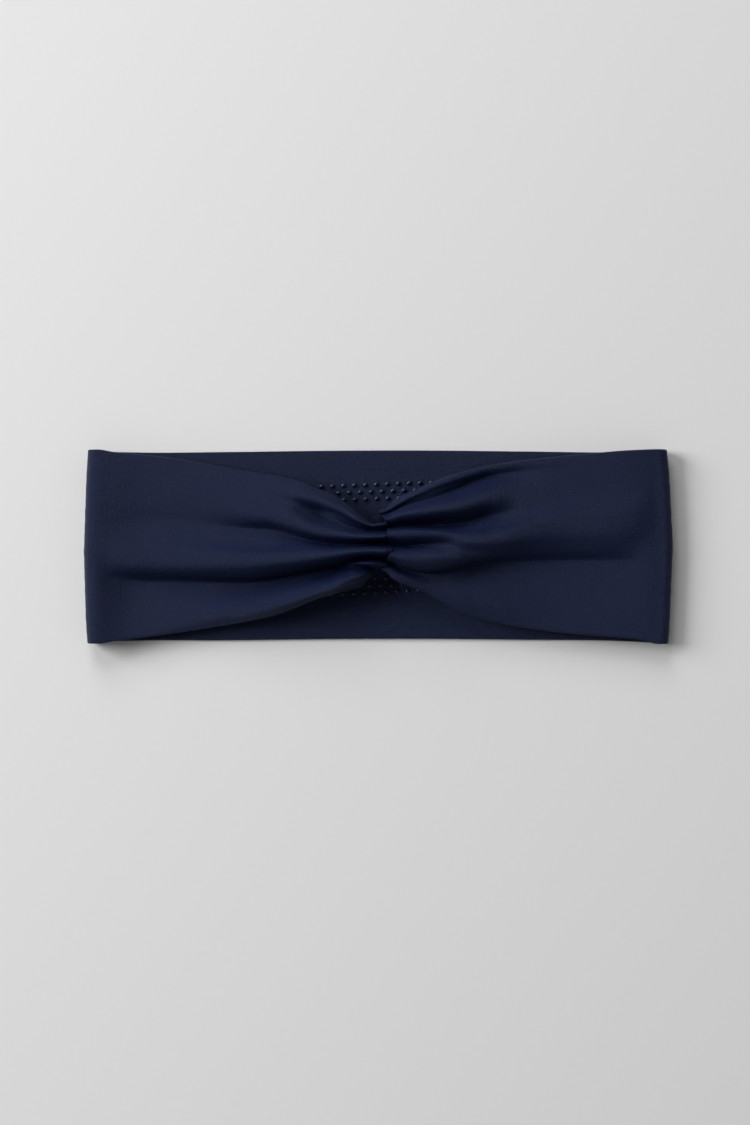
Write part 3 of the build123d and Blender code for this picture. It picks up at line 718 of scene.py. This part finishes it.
def interlock_knit(name, colour, wale, course, roughness):
    """Interlock knit of nylon and elastane: a dull, dense face with very fine wales and courses.

    The eye gets a soft, slightly blue-grey sheen and, close to, lines of loops along the band.
    """
    material = new_material(name)
    tree = material.node_tree
    place = node(tree, "ShaderNodeUVMap", {"uv_map": "Cloth"}).outputs["UV"]
    apart = node(tree, "ShaderNodeSeparateXYZ", inputs={"Vector": place})

    def ripple(value, spacing):
        turned = node(
            tree, "ShaderNodeMath", {"operation": "MULTIPLY"}, {0: value, 1: 2 * math.pi / (spacing * MM)}
        )
        return node(tree, "ShaderNodeMath", {"operation": "SINE"}, {0: turned.outputs[0]}).outputs[0]

    wales = ripple(apart.outputs["Y"], wale)
    courses = ripple(apart.outputs["X"], course)
    loops = node(tree, "ShaderNodeMath", {"operation": "MULTIPLY"}, {0: wales, 1: courses}).outputs[0]
    lines = node(tree, "ShaderNodeMath", {"operation": "MULTIPLY_ADD"}, {0: courses, 1: 0.4, 2: loops})
    fuzz = node(tree, "ShaderNodeTexNoise", inputs={"Vector": place, "Scale": 950.0, "Detail": 5.0})
    mottle = node(tree, "ShaderNodeTexNoise", inputs={"Vector": place, "Scale": 800.0, "Detail": 5.0})
    height = node(
        tree,
        "ShaderNodeMath",
        {"operation": "MULTIPLY_ADD"},
        {0: fuzz.outputs["Fac"], 1: 3.2, 2: lines.outputs[0]},
    )
    bump = node(
        tree, "ShaderNodeBump", inputs={"Strength": 0.7, "Distance": 0.00012, "Height": height.outputs[0]}
    )
    shade = node(
        tree,
        "ShaderNodeMapRange",
        inputs={
            "Value": mottle.outputs["Fac"],
            "From Min": 0.3,
            "From Max": 0.7,
            "To Min": 0.72,
            "To Max": 1.28,
        },
    )
    tint = node(
        tree,
        "ShaderNodeHueSaturation",
        inputs={"Color": (*colour, 1), "Value": shade.outputs["Result"]},
    )
    rough = node(
        tree,
        "ShaderNodeMapRange",
        inputs={
            "Value": fuzz.outputs["Fac"],
            "From Min": 0.3,
            "From Max": 0.7,
            "To Min": roughness - 0.05,
            "To Max": roughness + 0.05,
        },
    )
    shader = node(
        tree,
        "ShaderNodeBsdfPrincipled",
        inputs={
            "Base Color": tint.outputs["Color"],
            "Roughness": rough.outputs["Result"],
            "IOR": 1.5,
            "Specular IOR Level": 0.26,
            "Specular Tint": (0.66, 0.75, 1.0, 1),
            "Normal": bump.outputs["Normal"],
        },
    )
    node(tree, "ShaderNodeOutputMaterial", inputs={"Surface": shader.outputs["BSDF"]})
    return material


def printed_silicone(colour):
    """Screen-printed silicone rubber, cured in place: smooth, wet-looking domes."""
    material = new_material("printed_silicone")
    tree = material.node_tree
    place = node(tree, "ShaderNodeTexCoord").outputs["Object"]
    haze = node(tree, "ShaderNodeTexNoise", inputs={"Vector": place, "Scale": 900.0, "Detail": 2.0})
    rough = node(
        tree, "ShaderNodeMapRange", inputs={"Value": haze.outputs["Fac"], "To Min": 0.06, "To Max": 0.12}
    )
    bump = node(
        tree,
        "ShaderNodeBump",
        inputs={"Strength": 0.2, "Distance": 0.00005, "Height": haze.outputs["Fac"]},
    )
    shader = node(
        tree,
        "ShaderNodeBsdfPrincipled",
        inputs={
            "Base Color": (*colour, 1),
            "Roughness": rough.outputs["Result"],
            "IOR": 1.43,
            "Normal": bump.outputs["Normal"],
        },
    )
    node(tree, "ShaderNodeOutputMaterial", inputs={"Surface": shader.outputs["BSDF"]})
    return material


def spun_polyester(name, colour, spacing):
    """Spun polyester, as sewing thread or tape: fine twisted fibres that catch a soft line of light."""
    material = new_material(name)
    tree = material.node_tree
    place = node(tree, "ShaderNodeTexCoord").outputs["Object"]
    twist = node(
        tree,
        "ShaderNodeTexWave",
        {"bands_direction": "DIAGONAL"},
        {"Vector": place, "Scale": 1 / (spacing * MM), "Distortion": 1.5, "Detail": 2.0},
    )
    bump = node(
        tree,
        "ShaderNodeBump",
        inputs={"Strength": 0.5, "Distance": 0.00005, "Height": twist.outputs["Fac"]},
    )
    tone = node(
        tree, "ShaderNodeMapRange", inputs={"Value": twist.outputs["Fac"], "To Min": 0.8, "To Max": 1.25}
    )
    tint = node(
        tree, "ShaderNodeHueSaturation", inputs={"Color": (*colour, 1), "Value": tone.outputs["Result"]}
    )
    shader = node(
        tree,
        "ShaderNodeBsdfPrincipled",
        inputs={
            "Base Color": tint.outputs["Color"],
            "Roughness": 0.6,
            "Specular IOR Level": 0.2,
            "Normal": bump.outputs["Normal"],
        },
    )
    node(tree, "ShaderNodeOutputMaterial", inputs={"Surface": shader.outputs["BSDF"]})
    return material


def seamless_paper(colour):
    """Matt photographic background paper: pale, even, with a faint fibre."""
    material = new_material("seamless_paper")
    tree = material.node_tree
    place = node(tree, "ShaderNodeTexCoord").outputs["Object"]
    fibre = node(tree, "ShaderNodeTexNoise", inputs={"Vector": place, "Scale": 400.0, "Detail": 3.0})
    tone = node(
        tree, "ShaderNodeMapRange", inputs={"Value": fibre.outputs["Fac"], "To Min": 0.99, "To Max": 1.01}
    )
    tint = node(
        tree, "ShaderNodeHueSaturation", inputs={"Color": (*colour, 1), "Value": tone.outputs["Result"]}
    )
    shader = node(
        tree,
        "ShaderNodeBsdfPrincipled",
        inputs={"Base Color": tint.outputs["Color"], "Roughness": 0.9, "Specular IOR Level": 0.1},
    )
    node(tree, "ShaderNodeOutputMaterial", inputs={"Surface": shader.outputs["BSDF"]})
    return material


# Settings


class ClothSettings(bpy.types.PropertyGroup):
    layer: bpy.props.FloatProperty(
        name="Half panel",
        description="Half the thickness of a two-layer panel, which its rolled edges are round to",
        default=0.75 * MM,
        unit="LENGTH",
    )
    thickness: bpy.props.FloatProperty(
        name="Knit", description="Thickness of one layer of knit", default=0.6 * MM, unit="LENGTH"
    )
    shell_colour: bpy.props.FloatVectorProperty(
        name="Shell", description="Colour of the shells", default=linear("#081231"), subtype="COLOR"
    )
    lining_colour: bpy.props.FloatVectorProperty(
        name="Lining", description="Colour of the linings", default=linear("#081230"), subtype="COLOR"
    )


class GripSettings(bpy.types.PropertyGroup):
    radius: bpy.props.FloatProperty(
        name="Radius", description="Radius of a grip dot", default=1.0 * MM, unit="LENGTH"
    )
    height: bpy.props.FloatProperty(
        name="Height", description="Height of a grip dot", default=0.7 * MM, unit="LENGTH"
    )
    pitch: bpy.props.FloatProperty(
        name="Pitch", description="From dot to dot along a row", default=4.4 * MM, unit="LENGTH"
    )
    row_step: bpy.props.FloatProperty(
        name="Row step", description="From row to row", default=2.88 * MM, unit="LENGTH"
    )
    turn: bpy.props.FloatProperty(
        name="Turn", description="Turn of the printed field", default=math.radians(2.2), subtype="ANGLE"
    )
    colour: bpy.props.FloatVectorProperty(
        name="Silicone", description="Colour of the dots", default=linear("#0A1330"), subtype="COLOR"
    )


class ThreadSettings(bpy.types.PropertyGroup):
    radius: bpy.props.FloatProperty(
        name="Radius", description="Radius of the sewing thread", default=0.15 * MM, unit="LENGTH"
    )
    stitch: bpy.props.FloatProperty(
        name="Stitch", description="Length of a stitch", default=2.6 * MM, unit="LENGTH"
    )
    colour: bpy.props.FloatVectorProperty(
        name="Thread", description="Colour of the thread", default=linear("#18213F"), subtype="COLOR"
    )
    tape_colour: bpy.props.FloatVectorProperty(
        name="Binding", description="Colour of the binding", default=linear("#131B38"), subtype="COLOR"
    )


class StageSettings(bpy.types.PropertyGroup):
    floor_colour: bpy.props.FloatVectorProperty(
        name="Floor", description="Colour of the floor", default=linear("#E7E7E7"), subtype="COLOR"
    )
    key_power: bpy.props.FloatProperty(
        name="Key light", description="Power of the softbox on the left, in watts", default=64.0
    )
    far_power: bpy.props.FloatProperty(
        name="Far light", description="Power of the softbox beyond the band, in watts", default=27.5
    )
    fill: bpy.props.FloatProperty(
        name="Fill", description="Strength of the light from all round", default=0.18
    )
    camera_height: bpy.props.FloatProperty(
        name="Camera height", description="Height of the camera", default=1.256, unit="LENGTH"
    )


class HeadbandSettings(bpy.types.PropertyGroup):
    cloth: bpy.props.PointerProperty(type=ClothSettings)
    grip: bpy.props.PointerProperty(type=GripSettings)
    thread: bpy.props.PointerProperty(type=ThreadSettings)
    stage: bpy.props.PointerProperty(type=StageSettings)


# Operators


def knit_material(settings, inner):
    """The shells' or the linings' knit, made once."""
    name = "interlock_knit_lining" if inner else "interlock_knit_shell"
    if name in bpy.data.materials:
        return bpy.data.materials[name]
    colour = settings.lining_colour if inner else settings.shell_colour
    # A real wale is about 0.35 mm wide. It is drawn at 0.6 mm so that it shows.
    return interlock_knit(name, colour, wale=0.6, course=0.5, roughness=0.47)


def thread_material(settings):
    """The sewing thread, made once."""
    name = "polyester_thread"
    return bpy.data.materials.get(name) or spun_polyester(name, settings.colour, spacing=0.35)


class HEADBAND_OT_front_panels(bpy.types.Operator):
    """Makes the shell and the lining of both pleated front panels"""

    bl_idname = "headband.front_panels"
    bl_label = "Front Panels"

    def execute(self, context):
        settings = context.scene.headband.cloth
        layer, thickness = settings.layer / MM, settings.thickness / MM
        for side, word in ((-1, "left"), (1, "right")):
            shell = cloth(
                f"front_{word}_shell_cloth",
                front_shell_points(side, layer),
                thickness,
                knit_material(settings, False),
            )
            finish_piece(shell, f"front_{word}_shell", slot="knit_shell")
            lining = cloth(
                f"front_{word}_lining_cloth",
                front_lining_points(side, layer),
                thickness,
                knit_material(settings, True),
                faces_up=False,
            )
            finish_piece(lining, f"front_{word}_lining", slot="knit_lining")
        return {"FINISHED"}


class HEADBAND_OT_back_panel(bpy.types.Operator):
    """Makes the shell and the lining of the flat back panel"""

    bl_idname = "headband.back_panel"
    bl_label = "Back Panel"

    def execute(self, context):
        settings = context.scene.headband.cloth
        layer, thickness = settings.layer / MM, settings.thickness / MM
        shell = cloth(
            "back_shell_cloth",
            back_points(layer, False),
            thickness,
            knit_material(settings, False),
            faces_up=False,
        )
        finish_piece(shell, "back_shell", slot="knit_shell")
        lining = cloth(
            "back_lining_cloth", back_points(layer, True), thickness, knit_material(settings, True)
        )
        finish_piece(lining, "back_lining", slot="knit_lining")
        return {"FINISHED"}


class HEADBAND_OT_grip_dots(bpy.types.Operator):
    """Makes the field of silicone dots on the back panel's lining"""

    bl_idname = "headband.grip_dots"
    bl_label = "Grip Dots"

    def execute(self, context):
        settings = context.scene.headband.grip
        bpy.ops.object.select_all(action="DESELECT")
        bpy.ops.mesh.primitive_uv_sphere_add(segments=12, ring_count=10, radius=settings.radius)
        dot = context.active_object
        bpy.ops.object.mode_set(mode="EDIT")
        bpy.ops.mesh.select_all(action="SELECT")
        bpy.ops.transform.resize(value=(1, 1, settings.height / settings.radius))
        bpy.ops.mesh.bisect(
            plane_co=(0, 0, -DOT_SINK * MM), plane_no=(0, 0, 1), use_fill=True, clear_inner=True
        )
        bpy.ops.object.mode_set(mode="OBJECT")
        field = Matrix.Translation((0, DOT_CENTRE_Y * MM, LINING_TOP * MM))
        field = field @ Matrix.Rotation(settings.turn, 4, "Z")
        places = []
        for band in (-1, 1):
            for row in (-1, 0, 1):
                y = band * DOT_BAND_OFFSET * MM + row * settings.row_step
                shift = settings.pitch / 2 if (row == 0) == (band > 0) else 0
                for k in range(DOTS_IN_ROW):
                    x = (k - DOTS_IN_ROW / 2) * settings.pitch + shift
                    places.append(field @ Matrix.Translation((x, y, 0)))
        copied(dot, places)
        dots = finished_mesh("silicone_dots", printed_silicone(settings.colour))
        finish_piece(dots, "grip_dots", slot="silicone")
        return {"FINISHED"}


class HEADBAND_OT_centre_seam(bpy.types.Operator):
    """Makes the binding on the centre seam's allowance and the stitches through both"""

    bl_idname = "headband.centre_seam"
    bl_label = "Centre Seam"

    def execute(self, context):
        settings = context.scene.headband.thread
        tape = cloth(
            "centre_seam_tape",
            binding_points(),
            BINDING_LAYER,
            spun_polyester("binding_tape", settings.tape_colour, spacing=0.5),
        )
        finish_piece(tape, "centre_seam_binding", slot="binding_tape")
        radius, stitch = settings.radius, settings.stitch / MM
        half = BINDING_WIDTH / 2
        material = thread_material(settings)
        proud = half + THREAD_PROUD
        seam = ladder_runs(SEAM_LOW_Y, SEAM_HIGH_Y, SEAM_THREAD_Z, proud - BINDING_LAYER, stitch)
        piece = stitch_piece("centre_seam_stitches", seam, radius, material)
        finish_piece(piece, "centre_seam_thread", slot="thread")
        hem = ladder_runs(SEAM_LOW_Y, SEAM_HIGH_Y, BINDING_THREAD_Z, proud, stitch)
        over = BINDING_TOP + THREAD_PROUD
        hem += overcast_runs(OVERCAST_LOW_Y, BINDING_HIGH_Y, over, half, OVERCAST_SPACING)
        piece = stitch_piece("binding_stitches", hem, radius, material)
        finish_piece(piece, "binding_thread", slot="thread")
        return {"FINISHED"}


class HEADBAND_OT_seam_stitches(bpy.types.Operator):
    """Makes the stitches inside the side seams and along the panels' long edges"""

    bl_idname = "headband.seam_stitches"
    bl_label = "Seam Stitches"

    def execute(self, context):
        settings = context.scene.headband.thread
        layer = context.scene.headband.cloth.layer / MM
        radius, stitch = settings.radius, settings.stitch / MM
        material = thread_material(settings)
        for side, word in ((-1, "left"), (1, "right")):
            runs = side_seam_runs(side, SIDE_SEAM_DEPTHS, SIDE_SEAM_HALF, stitch, SIDE_BITE)
            piece = stitch_piece(f"{word}_side_seam_stitches", runs, radius, material)
            finish_piece(piece, f"{word}_side_seam_thread", slot="thread")
            runs = []
            for edge in (0, 1):
                line = front_edge_line(side, edge, EDGE_SEAM_INSET, layer)
                runs += stitch_runs(line, stitch, STITCH_SHARE)
            piece = stitch_piece(f"front_{word}_edge_stitches", runs, radius, material)
            finish_piece(piece, f"front_{word}_edge_thread", slot="thread")
        runs = []
        for edge in (0, 1):
            runs += stitch_runs(back_edge_line(edge, EDGE_SEAM_INSET, layer), stitch, STITCH_SHARE)
        piece = stitch_piece("back_edge_stitches", runs, radius, material)
        finish_piece(piece, "back_edge_thread", slot="thread")
        return {"FINISHED"}


class HEADBAND_OT_stage(bpy.types.Operator):
    """Makes the floor, the lights and the camera"""

    bl_idname = "headband.stage"
    bl_label = "Stage"

    def execute(self, context):
        settings = context.scene.headband.stage
        bpy.ops.object.select_all(action="DESELECT")
        bpy.ops.mesh.primitive_plane_add(size=FLOOR_SIZE, location=(0, 0, 0))
        floor = context.active_object
        floor.name = "floor"
        floor.data.materials.append(seamless_paper(settings.floor_colour))

        for name, power, place in (
            ("left_softbox", settings.key_power, LEFT_SOFTBOX_PLACE),
            ("far_softbox", settings.far_power, FAR_SOFTBOX_PLACE),
        ):
            light = bpy.data.lights.new(name, "AREA")
            light.shape = "SQUARE"
            light.size = SOFTBOX_SIZE
            light.energy = power
            lamp = bpy.data.objects.new(name, light)
            context.collection.objects.link(lamp)
            lamp.location = place
            lamp.rotation_euler = (-lamp.location).to_track_quat("-Z", "Y").to_euler()

        world = bpy.data.worlds.new("studio")
        world.use_nodes = True
        tree = world.node_tree
        toward = node(tree, "ShaderNodeTexCoord").outputs["Generated"]
        up = node(tree, "ShaderNodeSeparateXYZ", inputs={"Vector": toward}).outputs["Z"]
        square = node(tree, "ShaderNodeMath", {"operation": "MULTIPLY"}, {0: up, 1: up}).outputs[0]
        # The ceiling over the camera is dark, and the walls of the room give the fill.
        walls = node(
            tree,
            "ShaderNodeMapRange",
            inputs={"Value": square, "To Min": 2 * settings.fill, "To Max": 0.05 * settings.fill},
        )
        tree.nodes["Background"].inputs["Color"].default_value = (1, 1, 1, 1)
        tree.links.new(walls.outputs["Result"], tree.nodes["Background"].inputs["Strength"])
        context.scene.world = world
        context.scene.view_settings.view_transform = "Standard"

        eye = bpy.data.cameras.new("camera")
        eye.lens = LENS
        eye.sensor_width = SENSOR_WIDTH
        camera = bpy.data.objects.new("camera", eye)
        context.collection.objects.link(camera)
        camera.location = (CAMERA_X * MM, CAMERA_Y * MM, settings.camera_height)
        context.scene.camera = camera
        return {"FINISHED"}


class HEADBAND_PT_tools(bpy.types.Panel):
    """Lists the steps that make the headband"""

    bl_label = "Knotted Headband"
    bl_idname = "HEADBAND_PT_tools"
    bl_space_type = "VIEW_3D"
    bl_region_type = "UI"
    bl_category = "Headband"

    def draw(self, context):
        for operator in STEPS:
            self.layout.operator(operator.bl_idname)


STEPS = (
    HEADBAND_OT_stage,
    HEADBAND_OT_front_panels,
    HEADBAND_OT_back_panel,
    HEADBAND_OT_grip_dots,
    HEADBAND_OT_centre_seam,
    HEADBAND_OT_seam_stitches,
)
CLASSES = (
    ClothSettings,
    GripSettings,
    ThreadSettings,
    StageSettings,
    HeadbandSettings,
    *STEPS,
    HEADBAND_PT_tools,
)


def register():
    for item in CLASSES:
        bpy.utils.register_class(item)
    bpy.types.Scene.headband = bpy.props.PointerProperty(type=HeadbandSettings)


def unregister():
    del bpy.types.Scene.headband
    for item in reversed(CLASSES):
        bpy.utils.unregister_class(item)


def main():
    register()
    bpy.ops.headband.stage()
    bpy.ops.headband.front_panels()
    bpy.ops.headband.back_panel()
    bpy.ops.headband.grip_dots()
    bpy.ops.headband.centre_seam()
    bpy.ops.headband.seam_stitches()


if __name__ == "__main__":
    main()
